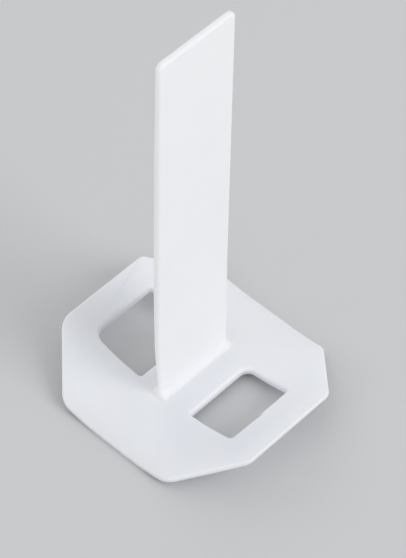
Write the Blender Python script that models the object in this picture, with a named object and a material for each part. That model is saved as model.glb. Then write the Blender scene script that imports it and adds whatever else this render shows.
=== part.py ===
# Tile levelling clip, moulded in one piece from white polypropylene.
# An octagonal base plate goes under the tiles, and a tall flat blade stands up in the joint
# between them. The two wings of the base curve up from a strip under the blade, and each wing has
# a window through it. The strip is flat under the blade, and its two ends hang a little lower.
# The blade grows out of the strip through a sloping foot, and is thinner just above it, where it
# snaps off once the tiles are laid.
#
# Metres, +Z up. X runs along the blade's width, Y across the blade, through both windows.
# The origin is under the middle of the base, at the height that the clip rests on.

import math

import bmesh
import bpy
from mathutils import Matrix, Vector

# Base plate, seen from above
BASE_LENGTH = 0.0400           # along X
BASE_WIDTH = 0.0440            # along Y, over both wings
WING_TIP_LENGTH = 0.0198       # straight edge at the tip of each wing, along X
BASE_END_LENGTH = 0.0245       # straight edge at each end of the base, along Y
BASE_CORNER_RADIUS = 0.0018    # rounding of the eight corners

# Base plate, seen along X
BASE_THICKNESS = 0.0015
STRIP_WIDTH = 0.0070           # strip under the blade, straight across
WING_RADIUS = 0.0387           # underside of each wing, a circular arc from the strip outwards
BASE_EDGE_RADIUS = 0.00045     # rounding of every rim of the plate

# Base plate, seen along Y
PAD_LENGTH = 0.0196            # flat middle of the strip, under the blade and its foot
END_DROP = 0.0012              # how far the strip's two ends hang below the flat middle

# Windows, one in each wing
WINDOW_LENGTH = 0.0145         # along X
WINDOW_INSET = 0.0058          # from the middle of the base to the near edge of each window
BACK_WINDOW_DEPTH = 0.0113     # along Y, on the +Y wing
FRONT_WINDOW_DEPTH = 0.0096    # along Y, on the -Y wing
WINDOW_CORNER_RADIUS = 0.0011

# Blade
BLADE_WIDTH = 0.0169           # along X
BLADE_THICKNESS = 0.0014       # along Y
BLADE_TOP = 0.0824             # height of the top edge over the underside of the flat middle
BLADE_FRONT = 0.0001           # place along Y of the blade's flat front face
BLADE_CORNER_RADIUS = 0.0013   # the two top corners
BLADE_EDGE_RADIUS = 0.00035    # rounding of the blade's long edges and rim
NECK_THICKNESS = 0.0011        # thinnest place, just above the foot, set back from behind
NECK_HEIGHT = 0.0120           # height over the plate at which the blade has its full thickness

# Foot of the blade, a slope of 45 degrees with a small arc at its top and at its bottom
FOOT_SLOPE = 0.00115           # height and depth of the slope without its arcs
FOOT_BLEND = 0.00030           # how far each arc reaches past the slope
FOOT_END = 0.35                # share of the slope that runs round the blade's two narrow ends

# Fineness of the round stretches
WING_STEPS = 12                # facets in each wing's arc
END_STEPS = 5                  # facets in the arc down to each end of the base
CORNER_STEPS = 5               # facets in a rounded corner
BLEND_STEPS = 3                # facets in each arc of the foot
EDGE_STEPS = 2                 # facets in a rounded rim
SINK = 0.0006                  # how far the blade's root reaches down into the plate
OVERSIZE = 0.0050              # how far the cutting shapes run past what they cut

PLASTIC_COLOUR = (0.86, 0.87, 0.90, 1.0)
PLASTIC_ROUGHNESS = 0.38


def clear_scene():
    for old in list(bpy.data.objects):
        bpy.data.objects.remove(old, do_unlink=True)


def rounded_outline(corners, radius, steps):
    """Replace each corner of a convex outline by an arc of the given radius."""
    points = []
    count = len(corners)
    for index, corner in enumerate(corners):
        here = Vector(corner)
        back = (Vector(corners[index - 1]) - here).normalized()
        ahead = (Vector(corners[(index + 1) % count]) - here).normalized()
        half_angle = back.angle(ahead) / 2
        centre = here + (back + ahead).normalized() * radius / math.sin(half_angle)
        first = here + back * radius / math.tan(half_angle) - centre
        sweep = math.pi - 2 * half_angle
        for step in range(steps + 1):
            turn = sweep * step / steps
            spoke = Vector((first.x * math.cos(turn) - first.y * math.sin(turn),
                            first.x * math.sin(turn) + first.y * math.cos(turn)))
            points.append(centre + spoke)
    return points


def rectangle(low_x, low_y, high_x, high_y):
    return [(low_x, low_y), (high_x, low_y), (high_x, high_y), (low_x, high_y)]


def mesh_object(name, mesh_builder):
    mesh = bpy.data.meshes.new(name)
    obj = bpy.data.objects.new(name, mesh)
    bpy.context.scene.collection.objects.link(obj)
    bm = bmesh.new()
    mesh_builder(bm)
    bmesh.ops.recalc_face_normals(bm, faces=bm.faces)
    bm.to_mesh(mesh)
    bm.free()
    return obj


def prism(name, outline, low_z, high_z):
    """An upright solid over a closed outline in X and Y."""
    def build(bm):
        face = bm.faces.new([bm.verts.new((x, y, low_z)) for x, y in outline])
        grown = bmesh.ops.extrude_face_region(bm, geom=[face])
        moved = [item for item in grown["geom"] if isinstance(item, bmesh.types.BMVert)]
        bmesh.ops.translate(bm, verts=moved, vec=(0, 0, high_z - low_z))
    return mesh_object(name, build)


def apply_modifier(obj, modifier):
    """Bake one modifier into the object's own mesh."""
    depsgraph = bpy.context.evaluated_depsgraph_get()
    baked = bpy.data.meshes.new_from_object(obj.evaluated_get(depsgraph))
    obj.modifiers.remove(modifier)
    obj.data = baked


def combine(obj, tool, operation):
    """Boolean the tool into the object, then remove the tool."""
    modifier = obj.modifiers.new(operation.lower(), "BOOLEAN")
    modifier.operation = operation
    modifier.solver = "EXACT"
    modifier.object = tool
    apply_modifier(obj, modifier)
    bpy.data.objects.remove(tool, do_unlink=True)


def round_rims(obj, radius, steps):
    """Round every edge that turns sharply, and leave the small turns between facets."""
    modifier = obj.modifiers.new("rims", "BEVEL")
    modifier.width = radius
    modifier.segments = steps
    modifier.limit_method = "ANGLE"
    modifier.angle_limit = math.radians(40)
    modifier.use_clamp_overlap = True
    apply_modifier(obj, modifier)


def wing_section():
    """The plate's section in Y and Z: two concentric arcs with a flat strip between them."""
    reach = BASE_WIDTH / 2 + BASE_THICKNESS - STRIP_WIDTH / 2
    sweep = math.asin(reach / WING_RADIUS)
    under = []
    over = []
    for step in range(WING_STEPS + 1):
        turn = sweep * step / WING_STEPS
        for side, radius in ((under, WING_RADIUS), (over, WING_RADIUS - BASE_THICKNESS)):
            side.append((STRIP_WIDTH / 2 + radius * math.sin(turn),
                         WING_RADIUS - radius * math.cos(turn)))
    half = under + over[::-1]
    other_half = [(-y, z) for y, z in over] + [(-y, z) for y, z in under[::-1]]
    return half + other_half


def strip_line():
    """The base's line in X and Z: flat under the blade's foot, then an arc down to each end."""
    run = (BASE_LENGTH - PAD_LENGTH) / 2
    end_radius = (run * run + END_DROP * END_DROP) / (2 * END_DROP)
    sweep = math.asin((run + BASE_THICKNESS) / end_radius)
    half = []
    for step in range(END_STEPS + 1):
        turn = sweep * step / END_STEPS
        half.append((PAD_LENGTH / 2 + end_radius * math.sin(turn),
                     end_radius * (math.cos(turn) - 1)))
    return [(-x, z) for x, z in half[::-1]] + half


def swept_slab(name):
    """The wings' section carried along the strip's line, in flat facets."""
    def build(bm):
        loops = [[bm.verts.new((along, y, drop + z)) for y, z in wing_section()]
                 for along, drop in strip_line()]
        for near, far in zip(loops, loops[1:]):
            for index in range(len(near)):
                bm.faces.new([near[index - 1], near[index], far[index], far[index - 1]])
        bm.faces.new(loops[0][::-1])
        bm.faces.new(loops[-1])
    return mesh_object(name, build)


def base_plate(name):
    end_x = BASE_LENGTH / 2
    tip_y = BASE_WIDTH / 2
    tip_x = WING_TIP_LENGTH / 2
    end_y = BASE_END_LENGTH / 2
    octagon = [(tip_x, -tip_y), (end_x, -end_y), (end_x, end_y), (tip_x, tip_y),
               (-tip_x, tip_y), (-end_x, end_y), (-end_x, -end_y), (-tip_x, -tip_y)]
    outline = rounded_outline(octagon, BASE_CORNER_RADIUS, CORNER_STEPS)
    plate = swept_slab(name)
    combine(plate, prism("outline", outline, -OVERSIZE, WING_RADIUS), "INTERSECT")
    return plate


def window(name, low_y, high_y):
    half = WINDOW_LENGTH / 2
    outline = rounded_outline(rectangle(-half, low_y, half, high_y),
                              WINDOW_CORNER_RADIUS, CORNER_STEPS)
    return prism(name, outline, -OVERSIZE, WING_RADIUS)


def foot_profile():
    """How far the foot stands out, and its height over the plate, from the plate upwards."""
    arc_radius = FOOT_BLEND / math.tan(math.pi / 8)
    lower = []
    for step in range(BLEND_STEPS + 1):
        turn = math.pi / 4 * step / BLEND_STEPS
        lower.append((FOOT_SLOPE + FOOT_BLEND - arc_radius * math.sin(turn),
                      arc_radius * (1 - math.cos(turn))))
    return lower + [(height, out) for out, height in lower[::-1]]


def blade():
    """The blade with its neck and the slope of its foot, lofted from rounded rectangles."""
    half_x = BLADE_WIDTH / 2
    full_height = BASE_THICKNESS + NECK_HEIGHT
    straight_top = BLADE_TOP - BLADE_CORNER_RADIUS
    profile = foot_profile()
    levels = [(half_x, profile[0][0], NECK_THICKNESS, BASE_THICKNESS - SINK)]
    for out, height in profile:
        levels.append((half_x, out, NECK_THICKNESS, BASE_THICKNESS + height))
    levels.append((half_x, 0, BLADE_THICKNESS, full_height))
    levels.append((half_x, 0, BLADE_THICKNESS, straight_top))
    for step in range(1, CORNER_STEPS + 1):
        turn = math.pi / 2 * step / CORNER_STEPS
        levels.append((half_x - BLADE_CORNER_RADIUS * (1 - math.cos(turn)), 0, BLADE_THICKNESS,
                       straight_top + BLADE_CORNER_RADIUS * math.sin(turn)))

    def build(bm):
        loops = []
        for wide, out, thick, z in levels:
            out_x = out * FOOT_END
            outline = rounded_outline(
                rectangle(-wide - out_x, BLADE_FRONT - out, wide + out_x, BLADE_FRONT + thick + out),
                BLADE_EDGE_RADIUS + out_x, EDGE_STEPS)
            loops.append([bm.verts.new((x, y, z)) for x, y in outline])
        for low, high in zip(loops, loops[1:]):
            for index in range(len(low)):
                bm.faces.new([low[index - 1], low[index], high[index], high[index - 1]])
        bm.faces.new(loops[0][::-1])
        bm.faces.new(loops[-1])
    return mesh_object("blade", build)


def plastic():
    material = bpy.data.materials.new("white_plastic")
    material.use_nodes = True
    shader = material.node_tree.nodes["Principled BSDF"]
    shader.inputs["Base Color"].default_value = PLASTIC_COLOUR
    shader.inputs["Roughness"].default_value = PLASTIC_ROUGHNESS
    shader.inputs["Metallic"].default_value = 0.0
    material.diffuse_color = PLASTIC_COLOUR
    return material


def levelling_clip():
    clip = base_plate("levelling_clip")
    combine(clip, window("back window", WINDOW_INSET, WINDOW_INSET + BACK_WINDOW_DEPTH),
            "DIFFERENCE")
    combine(clip, window("front window", -WINDOW_INSET - FRONT_WINDOW_DEPTH, -WINDOW_INSET),
            "DIFFERENCE")
    round_rims(clip, BASE_EDGE_RADIUS, EDGE_STEPS)
    combine(clip, blade(), "UNION")
    lowest = min(vertex.co.z for vertex in clip.data.vertices)
    clip.data.transform(Matrix.Translation((0, 0, -lowest)))
    clip.data.materials.clear()
    clip.data.materials.append(plastic())
    clip.data.shade_smooth()
    clip.data.set_sharp_from_angle(angle=math.radians(35))
    return clip


clear_scene()
levelling_clip()
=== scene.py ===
# Tile levelling clip in white polypropylene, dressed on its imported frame.
# Metres, +Z up, in the frame's own place: X along the blade's width, Y across the blade.

import math

import bmesh
import bpy
from mathutils import Matrix, Vector


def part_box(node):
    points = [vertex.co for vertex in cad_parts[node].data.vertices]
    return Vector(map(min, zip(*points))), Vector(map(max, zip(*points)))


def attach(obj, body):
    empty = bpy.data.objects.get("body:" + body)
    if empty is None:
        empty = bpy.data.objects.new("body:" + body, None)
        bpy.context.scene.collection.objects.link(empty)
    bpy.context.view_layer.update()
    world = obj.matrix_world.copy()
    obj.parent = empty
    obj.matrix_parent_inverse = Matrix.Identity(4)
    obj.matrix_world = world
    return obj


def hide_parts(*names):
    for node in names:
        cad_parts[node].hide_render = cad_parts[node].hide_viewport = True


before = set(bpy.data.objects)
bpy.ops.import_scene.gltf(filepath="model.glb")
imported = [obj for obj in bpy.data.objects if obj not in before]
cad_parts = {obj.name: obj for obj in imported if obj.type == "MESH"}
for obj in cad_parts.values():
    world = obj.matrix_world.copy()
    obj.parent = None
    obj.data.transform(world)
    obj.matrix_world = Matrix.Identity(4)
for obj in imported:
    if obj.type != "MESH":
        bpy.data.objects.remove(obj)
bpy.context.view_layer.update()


# Base plate
# An octagonal plate of white polypropylene, moulded 1.5 mm thick in one with the blade. It is shaped
# flat first, with its corners and its two windows, and then curved: the wings rise on both sides of
# the blade, and the two ends of the strip under it hang a little.
clip_low, clip_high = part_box("levelling_clip")
BASE_LENGTH = clip_high.x - clip_low.x
BASE_WIDTH = clip_high.y - clip_low.y
WING_TIP_LENGTH = 0.0198
BASE_END_LENGTH = 0.0245
BASE_THICKNESS = 0.0015
CORNER_RADIUS = 0.0018
WORN_CORNER_RADIUS = 0.0034
SOFT_CORNER_RADIUS = 0.0042
CORNER_STEPS = 8
END_BOW = 0.00025
STRIP_WIDTH = 0.0070
WING_RADIUS = 0.0387
PAD_LENGTH = 0.0196
END_DROP = 0.0013
BLADE_TOP = 0.0824
PAD_HEIGHT = clip_high.z - BLADE_TOP
LEVEL = 1e-6
CLOSE = 1e-5
CUT_TOLERANCE = 1e-7
SQUARE_ENOUGH = math.radians(60)


def deselect_everything():
    if bpy.context.mode != "OBJECT":
        bpy.ops.object.mode_set(mode="OBJECT")
    bpy.ops.object.select_all(action="DESELECT")


def make_active(piece):
    deselect_everything()
    piece.select_set(True)
    bpy.context.view_layer.objects.active = piece


def block(name, low, high):
    """A block between two corners, with its place kept in its mesh."""
    deselect_everything()
    bpy.ops.mesh.primitive_cube_add(size=1)
    piece = bpy.context.active_object
    piece.name = name
    piece.location = (Vector(low) + Vector(high)) / 2
    piece.scale = Vector(high) - Vector(low)
    bpy.ops.object.transform_apply(location=True, rotation=True, scale=True)
    return piece


def pick_edges(piece, wanted):
    """Open the piece in edit mode with only the wanted edges selected."""
    make_active(piece)
    bpy.ops.object.mode_set(mode="EDIT")
    bpy.ops.mesh.select_mode(type="EDGE")
    bpy.ops.mesh.select_all(action="DESELECT")
    mesh = bmesh.from_edit_mesh(piece.data)
    for edge in mesh.edges:
        edge.select_set(wanted(edge))
    bmesh.update_edit_mesh(piece.data)


def bevel_edges(piece, wanted, width, steps):
    pick_edges(piece, wanted)
    bpy.ops.mesh.bevel(offset=width, segments=steps, affect="EDGES", clamp_overlap=True)
    bpy.ops.object.mode_set(mode="OBJECT")


def upright(edge):
    first, second = edge.verts
    return (first.co.xy - second.co.xy).length < LEVEL


def round_corner(piece, place, radius, turn):
    """Round the upright corner that stands at a place seen from above, where the outline turns."""
    bevel_edges(piece, lambda edge: upright(edge) and (edge.verts[0].co.xy - place).length < CLOSE,
                radius * math.tan(turn / 2), CORNER_STEPS)


def square_turn(edge):
    """True where two faces meet at about a right angle."""
    return edge.calc_face_angle(0) > SQUARE_ENOUGH


def trim(piece, point, normal):
    """Cut the piece along a plane, drop what lies beyond it, and close the cut."""
    make_active(piece)
    bpy.ops.object.mode_set(mode="EDIT")
    bpy.ops.mesh.select_all(action="SELECT")
    bpy.ops.mesh.bisect(plane_co=point, plane_no=normal, use_fill=True, clear_outer=True,
                        threshold=CUT_TOLERANCE)
    bpy.ops.object.mode_set(mode="OBJECT")


def slice_across(piece, axis, places):
    """Cut new edges round the piece at each place along an axis, so that it can be curved."""
    make_active(piece)
    bpy.ops.object.mode_set(mode="EDIT")
    for place in places:
        bpy.ops.mesh.select_all(action="SELECT")
        bpy.ops.mesh.bisect(plane_co=axis * place, plane_no=axis, threshold=CUT_TOLERANCE)
    bpy.ops.object.mode_set(mode="OBJECT")


def finish_with(piece, kind, **settings):
    """Add a modifier, set it, and apply it."""
    make_active(piece)
    modifier = piece.modifiers.new(kind.lower(), kind)
    for name, value in settings.items():
        setattr(modifier, name, value)
    bpy.ops.object.modifier_apply(modifier=modifier.name)


def boolean(piece, tool, operation):
    finish_with(piece, "BOOLEAN", operation=operation, solver="EXACT", object=tool)
    bpy.data.objects.remove(tool, do_unlink=True)


def spread(low, high, gap):
    """Evenly spaced places from low to high, about one gap apart, both ends included."""
    count = max(1, round((high - low) / gap))
    return [low + (high - low) * step / count for step in range(count + 1)]


half_length = BASE_LENGTH / 2 - END_BOW
half_width = BASE_WIDTH / 2
half_tip = WING_TIP_LENGTH / 2
half_end = BASE_END_LENGTH / 2

clip = block("clip", (-half_length, -half_width, 0), (half_length, half_width, BASE_THICKNESS))
slant_normal = Vector((half_width - half_end, half_length - half_tip)).normalized()
slant = math.atan2(half_width - half_end, half_length - half_tip)
soft_corner = Vector((-half_tip, half_width))
worn_corners = [Vector((-half_length, -half_end)), Vector((-half_length, half_end))]
quarters = [(side_x, side_y) for side_x in (-1, 1) for side_y in (-1, 1)]
for side_x, side_y in quarters:
    trim(clip, (side_x * half_length, side_y * half_end, 0),
         Vector((side_x * slant_normal.x, side_y * slant_normal.y, 0)))
for side_x, side_y in quarters:
    end_corner = Vector((side_x * half_length, side_y * half_end))
    tip_corner = Vector((side_x * half_tip, side_y * half_width))
    end_radius = WORN_CORNER_RADIUS if end_corner in worn_corners else CORNER_RADIUS
    tip_radius = SOFT_CORNER_RADIUS if tip_corner == soft_corner else CORNER_RADIUS
    round_corner(clip, end_corner, end_radius, math.pi / 2 - slant)
    round_corner(clip, tip_corner, tip_radius, slant)


# Windows
# One opening through each wing, left by a core in the mould, so that tile adhesive can come up
# through the base. The one at the back is deeper.
WINDOW_LENGTH = 0.0143
BACK_WINDOW_INSET = 0.0058
BACK_WINDOW_DEPTH = 0.0112
FRONT_WINDOW_INSET = 0.0059
FRONT_WINDOW_DEPTH = 0.0094
SHARP_CORNER_RADIUS = 0.0006
BACK_SOFT_RADIUS = 0.0022
FRONT_SOFT_RADIUS = 0.0018

half_window = WINDOW_LENGTH / 2
back_far_edge = BACK_WINDOW_INSET + BACK_WINDOW_DEPTH
front_far_edge = -FRONT_WINDOW_INSET - FRONT_WINDOW_DEPTH


def cut_window(low_y, high_y, rounder_corner, rounder_radius):
    """Cut a window whose corners are sharp but for one, which the mould's core has rounder."""
    core = block("core", (-half_window, low_y, -BASE_THICKNESS),
                 (half_window, high_y, 2 * BASE_THICKNESS))
    for corner in ((-half_window, low_y), (half_window, low_y),
                   (half_window, high_y), (-half_window, high_y)):
        radius = rounder_radius if corner == rounder_corner else SHARP_CORNER_RADIUS
        round_corner(core, Vector(corner), radius, math.pi / 2)
    boolean(clip, core, "DIFFERENCE")


cut_window(BACK_WINDOW_INSET, back_far_edge,
           (-half_window, back_far_edge), BACK_SOFT_RADIUS)
cut_window(front_far_edge, -FRONT_WINDOW_INSET,
           (half_window, -FRONT_WINDOW_INSET), FRONT_SOFT_RADIUS)


# Rims and curve of the base
# The mould rounds the plate's upper rims, with a soft shoulder inside them, and leaves the lower
# ones, at its parting line, nearly sharp. The far edge of the front window has a nick. The wings
# are arcs about an axis along X, and the strip falls away in shallow arcs to its two ends.
UPPER_RIM_RADIUS = 0.0011
LOWER_RIM_RADIUS = 0.00025
WINDOW_UPPER_RADIUS = 0.0006
WINDOW_LOWER_RADIUS = 0.00015
UPPER_STEPS = 7
LOWER_STEPS = 2
SHOULDER_WIDTH = 0.0032
SHOULDER_FALL = 0.00055
CURVE_GAP = 0.0005
NICK_PLACE = 0.0001
NICK_DEPTH = 0.00060
NICK_RUN_OUT = 0.00010
NICK_UNDERCUT = 0.00030


def at_rim(edge, height):
    return all(abs(v.co.z - height) < LEVEL for v in edge.verts) and square_turn(edge)


def beside_window(edge):
    """True for an edge within the rectangle that spans both windows."""
    return all(abs(v.co.x) < half_window + CLOSE and abs(v.co.y) < back_far_edge + CLOSE
               for v in edge.verts)


def wing_rise(y, height):
    """Height of a point of the flat plate once its wing is curved up."""
    out = max(abs(y) - STRIP_WIDTH / 2, 0)
    return WING_RADIUS - math.sqrt((WING_RADIUS - height) ** 2 - out * out)


def shoulder(x, y):
    """How far the plate's top falls towards the outline, over and above its rounded rim."""
    to_slant = slant_normal.dot(Vector((half_length - abs(x), half_end - abs(y))))
    kept = 1
    for distance in (half_length - abs(x), half_width - abs(y), to_slant):
        near = max(1 - distance / SHOULDER_WIDTH, 0)
        kept *= 1 - near * near
    return SHOULDER_FALL * (1 - kept)


end_run = (BASE_LENGTH - PAD_LENGTH) / 2
droop_radius = (end_run ** 2 + END_DROP ** 2) / (2 * END_DROP)


def end_fall(x):
    """How far the strip has fallen below its level middle."""
    out = max(abs(x) - PAD_LENGTH / 2, 0)
    return droop_radius - math.sqrt(droop_radius ** 2 - out * out)


def bow(x, y):
    """How far a point of the plate lies further out, because the end's edge bows."""
    along = min(abs(y) / half_end, 1)
    return END_BOW * (1 - along * along) * max(abs(x) - PAD_LENGTH / 2, 0) / end_run


for height, outer_radius, window_radius, steps in (
        (BASE_THICKNESS, UPPER_RIM_RADIUS, WINDOW_UPPER_RADIUS, UPPER_STEPS),
        (0, LOWER_RIM_RADIUS, WINDOW_LOWER_RADIUS, LOWER_STEPS)):
    bevel_edges(clip, lambda edge: at_rim(edge, height) and not beside_window(edge),
                outer_radius, steps)
    bevel_edges(clip, lambda edge: at_rim(edge, height) and beside_window(edge),
                window_radius, steps)

nick_end = SHARP_CORNER_RADIUS - half_window
nick = block("nick", (nick_end, front_far_edge - NICK_DEPTH, -BASE_THICKNESS),
             (NICK_PLACE, front_far_edge + NICK_DEPTH, 2 * BASE_THICKNESS))
for vertex in nick.data.vertices:
    if vertex.co.y < front_far_edge and vertex.co.x < nick_end + CLOSE:
        vertex.co.y = front_far_edge - NICK_RUN_OUT
    elif vertex.co.y < front_far_edge:
        vertex.co.x += NICK_UNDERCUT
boolean(clip, nick, "DIFFERENCE")

slice_across(clip, Vector((0, 1, 0)), spread(-half_width, -STRIP_WIDTH / 2, CURVE_GAP)[1:])
slice_across(clip, Vector((0, 1, 0)), spread(STRIP_WIDTH / 2, half_width, CURVE_GAP)[:-1])
slice_across(clip, Vector((1, 0, 0)), spread(-half_length, -PAD_LENGTH / 2, CURVE_GAP)[1:])
slice_across(clip, Vector((1, 0, 0)), spread(PAD_LENGTH / 2, half_length, CURVE_GAP)[:-1])
for vertex in clip.data.vertices:
    x, y, z = vertex.co
    vertex.co.x += math.copysign(bow(x, y), x)
    vertex.co.z = wing_rise(y, z - shoulder(x, y) * z / BASE_THICKNESS) - end_fall(x)


# Blade and its foot
# The tall tongue that stands in the joint between two tiles, moulded in one with the plate. It is
# flat in front. Behind, it is thickest at mid height and thin at the neck, where it snaps off once
# the tiles have set. Below the neck its foot slopes out into the plate.
BLADE_WIDTH = 0.0169
BLADE_FRONT = 0.0001
BLADE_LEAN = 0.0002
LEAN_TOP = 0.0250
BLADE_CORNER_RADIUS = 0.0013
BLADE_CORNER_STEPS = 10
BLADE_EDGE_RADIUS = 0.00060
BLADE_EDGE_STEPS = 5
BLADE_GAP = 0.0015
THICKNESS_AT = ((0.0040, 0.0010), (0.0140, 0.00135), (0.0300, 0.00155), (0.0550, 0.00155),
                (BLADE_TOP, 0.00125))
THICKEST = max(thickness for height, thickness in THICKNESS_AT)
LEFT_NECK_NOTCH = 0.00040
RIGHT_NECK_NOTCH = 0.00025
NECK_TOP = 0.0140
FOOT_SLOPE = 0.00115
FOOT_ANGLE = math.radians(45)
FOOT_BLEND = 0.00030
LEFT_FOOT_END = 0.30
RIGHT_FOOT_END = 0.8
BLEND_STEPS = 5
ROOT_DEPTH = 0.0006
SMOOTH_ANGLE = math.radians(40)


def along_thickness(edge):
    first, second = edge.verts
    return abs(first.co.y - second.co.y) > THICKEST / 2


def reaches_top(edge):
    return max(v.co.z for v in edge.verts) > BLADE_TOP / 2


def smooth_step(low, high, value):
    """0 up to low, 1 past high, and a smooth rise between them."""
    share = min(max((value - low) / (high - low), 0), 1)
    return share * share * (3 - 2 * share)


def blade_thickness(z):
    """Thickness of the blade at a height over the plate's underside."""
    for (low_z, low), (high_z, high) in zip(THICKNESS_AT, THICKNESS_AT[1:]):
        if z <= high_z:
            return low + (high - low) * smooth_step(low_z, high_z, z)
    return THICKNESS_AT[-1][1]


blend_radius = FOOT_BLEND / math.tan(FOOT_ANGLE / 2)
blend_height = blend_radius * (1 - math.cos(FOOT_ANGLE))
blend_reach = blend_radius * math.sin(FOOT_ANGLE)


def foot_reach(z):
    """How far the foot, a slope between two arcs, stands out at a height over the underside."""
    above = max(z - BASE_THICKNESS, 0)
    if above < blend_height:
        turn = math.acos(1 - above / blend_radius)
        return FOOT_SLOPE + FOOT_BLEND - blend_radius * math.sin(turn)
    if above < FOOT_SLOPE + FOOT_BLEND - blend_reach:
        return FOOT_SLOPE - above
    up_to_top = max(FOOT_SLOPE + FOOT_BLEND - above, 0)
    turn = math.asin(min(up_to_top / blend_radius, 1))
    return blend_radius * (1 - math.cos(turn))


half_blade = BLADE_WIDTH / 2
blade_back = BLADE_FRONT + THICKEST
blade = block("blade", (-half_blade, BLADE_FRONT, BASE_THICKNESS - ROOT_DEPTH),
              (half_blade, blade_back, BLADE_TOP))
bevel_edges(blade, lambda edge: along_thickness(edge) and reaches_top(edge),
            BLADE_CORNER_RADIUS, BLADE_CORNER_STEPS)
bevel_edges(blade, lambda edge: square_turn(edge) and reaches_top(edge),
            BLADE_EDGE_RADIUS, BLADE_EDGE_STEPS)
turns = [FOOT_ANGLE * step / BLEND_STEPS for step in range(BLEND_STEPS + 1)]
foot_top = BASE_THICKNESS + FOOT_SLOPE + FOOT_BLEND
lower_blend = [BASE_THICKNESS + blend_radius * (1 - math.cos(turn)) for turn in turns]
upper_blend = [foot_top - blend_radius * math.sin(turn) for turn in turns]
slice_across(blade, Vector((0, 0, 1)), lower_blend + upper_blend)
slice_across(blade, Vector((0, 0, 1)),
             spread(foot_top, BLADE_TOP - BLADE_CORNER_RADIUS, BLADE_GAP)[1:])
for vertex in blade.data.vertices:
    x, y, z = vertex.co
    core_x = min(max(x, BLADE_EDGE_RADIUS - half_blade), half_blade - BLADE_EDGE_RADIUS)
    core_y = min(max(y, BLADE_FRONT + BLADE_EDGE_RADIUS), blade_back - BLADE_EDGE_RADIUS)
    outward = Vector((x - core_x, y - core_y)).normalized()
    vertex.co.y = BLADE_FRONT + (y - BLADE_FRONT) * blade_thickness(z) / THICKEST
    notch = RIGHT_NECK_NOTCH if x > 0 else LEFT_NECK_NOTCH
    foot_end = RIGHT_FOOT_END if x > 0 else LEFT_FOOT_END
    neck = notch * min(max((NECK_TOP - z) / (NECK_TOP - foot_top), 0), 1)
    vertex.co.x += outward.x * foot_reach(z) * foot_end - math.copysign(neck, x)
    vertex.co.y += outward.y * foot_reach(z) + BLADE_LEAN * smooth_step(foot_top, LEAN_TOP, z)

boolean(clip, blade, "UNION")
clip.data.transform(Matrix.Translation((0, 0, PAD_HEIGHT)))
make_active(clip)
bpy.ops.object.shade_smooth_by_angle(angle=SMOOTH_ANGLE)
finish_with(clip, "WEIGHTED_NORMAL", weight=80, keep_sharp=True)


# White polypropylene
# The natural finish of the mould: a satin skin with a fine grain, soft clouds where the melt cooled
# unevenly, and duller scuffs from handling. Blade and plate are one plastic, but the blade and its
# foot are painted a lighter, warmer white than the plate: painted light, for the brighter light on
# them.
# Two tones of the one plastic: a lighter, warmer one that is painted light on the blade and its
# foot, and the plate's cooler, darker one.
PLASTIC_PAINTED_LIGHT_TONE = (0.855, 0.855, 0.875, 1)
PLASTIC_COOL = (0.79, 0.815, 0.87, 1)
PLASTIC_ROUGHNESS = 0.56
PLASTIC_IOR = 1.49
GLOW_SHARE = 0.6
GLOW_COLOUR = (1.0, 0.97, 0.94)
GLOW_DEPTH = 0.0022
GRAIN_SIZE = 0.00035
GRAIN_HEIGHT = 0.00003
GRAIN_STRENGTH = 0.35
CLOUD_SIZE = 0.0090
CLOUD_SHARE = 0.8
# Painted light: the share of the lighter tone laid on the blade, and the heights over which it fades
# out towards the plate.
PAINTED_LIGHT_SHARE = 0.55
LEAST_SHARE = -0.15
PAINTED_LIGHT_HEIGHTS = (0.006, 0.014)
# Spans of the painted highlight on the slope of the blade's foot, across and along the blade.
FOOT_HIGHLIGHT_ACROSS = (0.0019, 0.0030)
FOOT_HIGHLIGHT_ALONG = (0.0090, 0.0104)
SCUFF_TURN = (0.3, 0.2, 0.5)
SCUFF_SCALE = (300, 2600, 900)
SCUFF_RANGE = (0.58, 0.75)
SCUFF_ROUGHNESS = 0.15


def connect(tree, source, target):
    tree.links.new(source, target)


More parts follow.
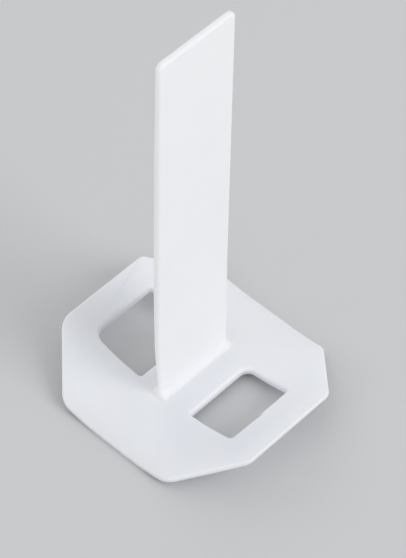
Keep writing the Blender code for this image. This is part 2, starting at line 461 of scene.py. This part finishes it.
def moulded_finish():
    """Node group: masks for the clouds and the scuffs, and the height of the grain."""
    group = bpy.data.node_groups.new("moulded finish", "ShaderNodeTree")
    group.interface.new_socket("Place", in_out="INPUT", socket_type="NodeSocketVector")
    for name in ("Cloud Size", "Grain Size"):
        group.interface.new_socket(name, in_out="INPUT", socket_type="NodeSocketFloat")
    for name in ("Clouds", "Scuffs", "Grain"):
        group.interface.new_socket(name, in_out="OUTPUT", socket_type="NodeSocketFloat")
    incoming = group.nodes.new("NodeGroupInput")
    outgoing = group.nodes.new("NodeGroupOutput")

    def scale_of(size_name):
        inverse = group.nodes.new("ShaderNodeMath")
        inverse.operation = "DIVIDE"
        inverse.inputs[0].default_value = 1
        connect(group, incoming.outputs[size_name], inverse.inputs[1])
        return inverse.outputs[0]

    def noise(place, detail, roughness):
        texture = group.nodes.new("ShaderNodeTexNoise")
        texture.inputs["Detail"].default_value = detail
        texture.inputs["Roughness"].default_value = roughness
        connect(group, place, texture.inputs["Vector"])
        return texture

    clouds = noise(incoming.outputs["Place"], detail=3, roughness=0.45)
    connect(group, scale_of("Cloud Size"), clouds.inputs["Scale"])
    grain = noise(incoming.outputs["Place"], detail=4, roughness=0.6)
    connect(group, scale_of("Grain Size"), grain.inputs["Scale"])

    stretch = group.nodes.new("ShaderNodeMapping")
    stretch.inputs["Rotation"].default_value = SCUFF_TURN
    stretch.inputs["Scale"].default_value = SCUFF_SCALE
    connect(group, incoming.outputs["Place"], stretch.inputs["Vector"])
    scratches = noise(stretch.outputs["Vector"], detail=2, roughness=0.5)
    scratches.inputs["Scale"].default_value = 1
    scuffs = group.nodes.new("ShaderNodeMapRange")
    scuffs.inputs["From Min"].default_value, scuffs.inputs["From Max"].default_value = SCUFF_RANGE
    connect(group, scratches.outputs["Fac"], scuffs.inputs["Value"])

    connect(group, clouds.outputs["Fac"], outgoing.inputs["Clouds"])
    connect(group, scuffs.outputs["Result"], outgoing.inputs["Scuffs"])
    connect(group, grain.outputs["Fac"], outgoing.inputs["Grain"])
    return group


def white_polypropylene():
    material = bpy.data.materials.new("white polypropylene")
    material.use_nodes = True
    tree = material.node_tree
    shader = tree.nodes["Principled BSDF"]
    shader.inputs["Subsurface Weight"].default_value = GLOW_SHARE
    shader.inputs["Subsurface Radius"].default_value = GLOW_COLOUR
    shader.inputs["Subsurface Scale"].default_value = GLOW_DEPTH
    shader.inputs["IOR"].default_value = PLASTIC_IOR

    place = tree.nodes.new("ShaderNodeTexCoord")
    finish = tree.nodes.new("ShaderNodeGroup")
    finish.node_tree = moulded_finish()
    finish.inputs["Cloud Size"].default_value = CLOUD_SIZE
    finish.inputs["Grain Size"].default_value = GRAIN_SIZE
    connect(tree, place.outputs["Object"], finish.inputs["Place"])

    axes = tree.nodes.new("ShaderNodeSeparateXYZ")
    connect(tree, place.outputs["Object"], axes.inputs["Vector"])

    def fade(source, span):
        """1 up to the span's start, 0 past its end, and a smooth fade between them."""
        between = tree.nodes.new("ShaderNodeMapRange")
        between.interpolation_type = "SMOOTHSTEP"
        between.inputs["From Min"].default_value, between.inputs["From Max"].default_value = span
        between.inputs["To Min"].default_value = 1
        between.inputs["To Max"].default_value = 0
        connect(tree, source, between.inputs["Value"])
        return between.outputs["Result"]

    def calculate(operation, *values):
        """A maths node that is given numbers or other nodes' outputs."""
        node = tree.nodes.new("ShaderNodeMath")
        node.operation = operation
        for socket, value in zip(node.inputs, values):
            if isinstance(value, float):
                socket.default_value = value
            else:
                connect(tree, value, socket)
        return node.outputs[0]

    # Painted light: a mask that is 1 on the blade above its neck and on the slope of its foot, and 0
    # on the plate.
    blade_middle = BLADE_FRONT + THICKEST / 2
    across = calculate("ABSOLUTE", calculate("SUBTRACT", axes.outputs["Y"], blade_middle))
    along = calculate("ABSOLUTE", axes.outputs["X"])
    below = fade(axes.outputs["Z"], PAINTED_LIGHT_HEIGHTS)
    # Painted highlight: the slope of the foot, on which the light falls most, gets the lighter tone
    # too.
    painted_foot_highlight = calculate("MULTIPLY", fade(across, FOOT_HIGHLIGHT_ACROSS), fade(along, FOOT_HIGHLIGHT_ALONG))
    painted_light_mask = calculate("MAXIMUM", painted_foot_highlight, calculate("SUBTRACT", 1.0, below))

    # The painted light lifts the tone towards the lighter one on the blade and foot. The clouds vary
    # it at random everywhere.
    painted_light_lift = calculate("MULTIPLY_ADD", painted_light_mask, PAINTED_LIGHT_SHARE, LEAST_SHARE)
    clouds_and_painted_light = calculate("MULTIPLY_ADD", finish.outputs["Clouds"], CLOUD_SHARE, painted_light_lift)
    clouds_and_painted_light.node.use_clamp = True
    colour = tree.nodes.new("ShaderNodeMix")
    colour.data_type = "RGBA"
    colour.inputs["A"].default_value = PLASTIC_COOL
    colour.inputs["B"].default_value = PLASTIC_PAINTED_LIGHT_TONE
    connect(tree, clouds_and_painted_light, colour.inputs["Factor"])
    connect(tree, colour.outputs["Result"], shader.inputs["Base Color"])

    roughness = tree.nodes.new("ShaderNodeMapRange")
    roughness.inputs["To Min"].default_value = PLASTIC_ROUGHNESS
    roughness.inputs["To Max"].default_value = PLASTIC_ROUGHNESS + SCUFF_ROUGHNESS
    connect(tree, finish.outputs["Scuffs"], roughness.inputs["Value"])
    connect(tree, roughness.outputs["Result"], shader.inputs["Roughness"])

    bump = tree.nodes.new("ShaderNodeBump")
    bump.inputs["Strength"].default_value = GRAIN_STRENGTH
    bump.inputs["Distance"].default_value = GRAIN_HEIGHT
    connect(tree, finish.outputs["Grain"], bump.inputs["Height"])
    connect(tree, bump.outputs["Normal"], shader.inputs["Normal"])
    return material


clip.data.materials.clear()
clip.data.materials.append(white_polypropylene())
clip.name = "moulded_clip"
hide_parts("levelling_clip")
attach(clip, "root")


# Floor
# A plain sheet of matt pale grey board. The clip only stands on it, on the two ends of its strip,
# and the sheet reaches well past the edges of the picture.
FLOOR_SIZE = 3.0
FLOOR_COLOUR = (0.60, 0.605, 0.615, 1)
FLOOR_ROUGHNESS = 0.8

deselect_everything()
bpy.ops.mesh.primitive_plane_add(size=FLOOR_SIZE)
floor = bpy.context.active_object
floor.name = "floor"
floor_finish = bpy.data.materials.new("pale floor")
floor_finish.use_nodes = True
floor_shader = floor_finish.node_tree.nodes["Principled BSDF"]
floor_shader.inputs["Base Color"].default_value = FLOOR_COLOUR
floor_shader.inputs["Roughness"].default_value = FLOOR_ROUGHNESS
floor.data.materials.append(floor_finish)


# Light
# A soft studio: most of the light comes from all round the pale room. A broad lamp stands in front
# of the blade's face, and three weak low ones behind it and to its left open the shadows.
LAMP_DISTANCE = 1.2
LAMP_SIZE = 0.8
AMBIENT = 0.63
BACKDROP_COLOUR = (0.86, 0.865, 0.875, 1)


def soft_lamp(name, azimuth, elevation, power):
    """A round soft lamp aimed at the clip. Azimuth 0 is in front of the blade, 90 to its right."""
    around = math.radians(azimuth)
    above = math.radians(elevation)
    place = Vector((math.sin(around) * math.cos(above),
                    -math.cos(around) * math.cos(above),
                    math.sin(above)))
    lamp_data = bpy.data.lights.new(name, "AREA")
    lamp_data.shape = "DISK"
    lamp_data.size = LAMP_SIZE
    lamp_data.energy = power
    lamp = bpy.data.objects.new(name, lamp_data)
    bpy.context.scene.collection.objects.link(lamp)
    lamp.location = place * LAMP_DISTANCE
    lamp.rotation_euler = place.to_track_quat("Z", "Y").to_euler()
    lamp.visible_camera = False


soft_lamp("front lamp", azimuth=14, elevation=33, power=5.8)
soft_lamp("left lamp", azimuth=265, elevation=18, power=2.6)
soft_lamp("back lamp", azimuth=180, elevation=30, power=0.9)
soft_lamp("back right lamp", azimuth=140, elevation=22, power=1.7)

world = bpy.data.worlds.new("pale room")
bpy.context.scene.world = world
world.use_nodes = True
room = world.node_tree
ambient = room.nodes["Background"]
ambient.inputs["Color"].default_value = (1, 1, 1, 1)
ambient.inputs["Strength"].default_value = AMBIENT
backdrop = room.nodes.new("ShaderNodeBackground")
backdrop.inputs["Color"].default_value = BACKDROP_COLOUR
ray = room.nodes.new("ShaderNodeLightPath")
seen = ray.outputs["Is Camera Ray"]
for kind in ("Is Glossy Ray", "Is Transmission Ray"):
    either = room.nodes.new("ShaderNodeMath")
    either.operation = "MAXIMUM"
    connect(room, seen, either.inputs[0])
    connect(room, ray.outputs[kind], either.inputs[1])
    seen = either.outputs[0]
choice = room.nodes.new("ShaderNodeMixShader")
connect(room, seen, choice.inputs[0])
connect(room, ambient.outputs[0], choice.inputs[1])
connect(room, backdrop.outputs[0], choice.inputs[2])
connect(room, choice.outputs[0], room.nodes["World Output"].inputs["Surface"])


# Camera
# It stands where the photograph was taken from: high over one corner of the base, with a long lens.
# Its place and its slight roll were worked out from the edges of the plate, windows and blade.
VIEW_AZIMUTH = math.radians(-47.76)
VIEW_ELEVATION = math.radians(50.23)
VIEW_ROLL = math.radians(1.25)
VIEW_DISTANCE = 0.52716
VIEW_TARGET = Vector((0.01695, 0.01375, PAD_HEIGHT))
PIXELS_PER_METRE = 5660
PICTURE_HEIGHT = 558
SENSOR_SIZE = 36

back = Vector((math.sin(VIEW_AZIMUTH) * math.cos(VIEW_ELEVATION),
               -math.cos(VIEW_AZIMUTH) * math.cos(VIEW_ELEVATION),
               math.sin(VIEW_ELEVATION)))
level_right = Vector((math.cos(VIEW_AZIMUTH), math.sin(VIEW_AZIMUTH), 0))
level_up = back.cross(level_right)
right = level_right * math.cos(VIEW_ROLL) + level_up * math.sin(VIEW_ROLL)
up = back.cross(right)
camera_data = bpy.data.cameras.new("camera")
camera_data.sensor_width = SENSOR_SIZE
camera_data.lens = PIXELS_PER_METRE * VIEW_DISTANCE / PICTURE_HEIGHT * SENSOR_SIZE
camera = bpy.data.objects.new("camera", camera_data)
bpy.context.scene.collection.objects.link(camera)
camera.matrix_world = (Matrix.Translation(VIEW_TARGET + back * VIEW_DISTANCE)
                       @ Matrix((right, up, back)).transposed().to_4x4())
bpy.context.scene.camera = camera
bpy.context.scene.view_settings.view_transform = "Standard"
